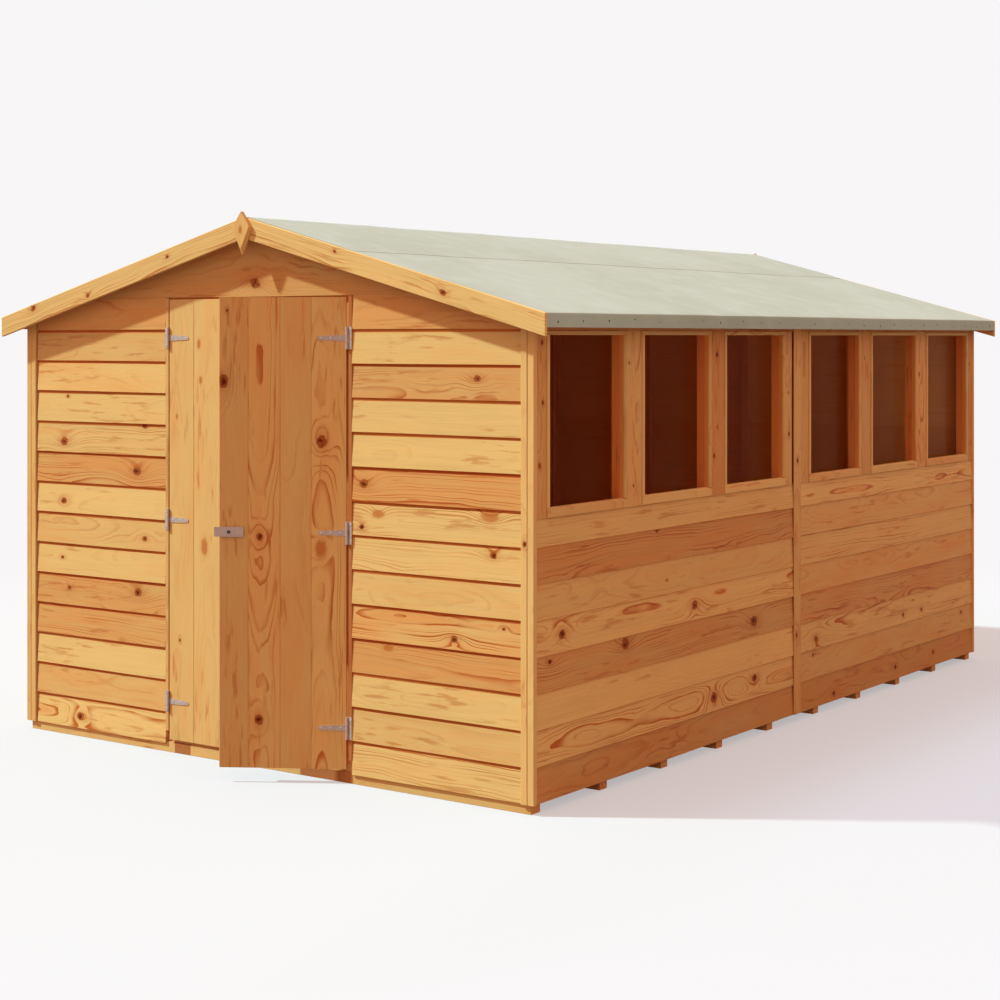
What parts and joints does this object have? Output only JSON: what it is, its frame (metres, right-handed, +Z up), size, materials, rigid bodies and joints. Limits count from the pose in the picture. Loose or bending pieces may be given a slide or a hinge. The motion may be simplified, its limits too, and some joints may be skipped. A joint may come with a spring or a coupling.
{
  "type": "wooden garden shed",
  "caption": "Apex-roofed timber garden shed with lapped-board walls, double doors on tee hinges in the gable, a turn button, felted roof and a row of fixed side windows.",
  "frame": {"origin": "middle of the front joist's underside, at ground level", "axes": "+Z up, +Y from the door gable towards the back, +X to the right seen from the front"},
  "size_m": [2.56, 4.015, 1.9674],
  "materials": {
    "cladding": "lapped pine boards, dip-treated honey brown",
    "door_boards": "upright tongued pine boards, dip-treated",
    "trim": "planed pine strips, dip-treated",
    "framing": "sawn softwood",
    "floor_timber": "sawn softwood, treated",
    "roof_boards": "sawn boards",
    "felt": "mineral-surfaced roofing felt, pale green",
    "pane": "clear glazing sheet",
    "galvanised": "galvanised steel"
  },
  "bodies": {
    "shed": {"floor_joists": "floor_timber", "floor_deck": "floor_timber", "front_cladding": "cladding", "front_gable_cladding": "cladding", "front_studs": "framing", "front_rails": "framing", "door_jambs": "trim", "door_head": "framing", "back_cladding": "cladding", "back_studs": "framing", "back_rails": "framing", "left_cladding": "cladding", "left_studs": "framing", "left_rails": "framing", "right_cladding": "cladding", "right_studs": "framing", "right_rails": "framing", "window_posts": "framing", "window_facings": "trim", "window_head_boards": "trim", "window_beads": "trim", "window_panes": "pane", "cover_strips": "trim", "roof_panel_left": "roof_boards", "roof_panel_right": "roof_boards", "felt_left": "felt", "felt_right": "felt", "ridge_felt": "felt", "eave_rails": "framing", "ridge_beam": "framing", "purlins": "framing", "bargeboards_left": "trim", "bargeboards_right": "trim", "finials": "trim", "hinge_plates": "galvanised"},
    "left_door": {"left_door_leaf": "door_boards", "left_door_ledges": "framing", "left_hinge_straps": "galvanised"},
    "right_door": {"right_door_leaf": "door_boards", "right_door_ledges": "framing", "right_hinge_straps": "galvanised", "turn_button_screw": "galvanised"},
    "turn_button": {"turn_button": "galvanised"}
  },
  "joints": [
    {"name": "left_door_hinge", "type": "hinge", "parent": "shed", "child": "left_door", "pos_m": [-0.427, -0.0435, 0.854], "axis": [0, 0, -1], "range_deg": [0, 150]},
    {"name": "right_door_hinge", "type": "hinge", "parent": "shed", "child": "right_door", "pos_m": [0.427, -0.0435, 0.854], "axis": [0, 0, 1], "range_deg": [-31.5, 118.5]},
    {"name": "turn_button_pivot", "type": "hinge", "parent": "right_door", "child": "turn_button", "pos_m": [0.08007, -0.25727, 0.8585], "axis": [0.5225, -0.8526, 0], "range_deg": [0, 90]}
  ]
}
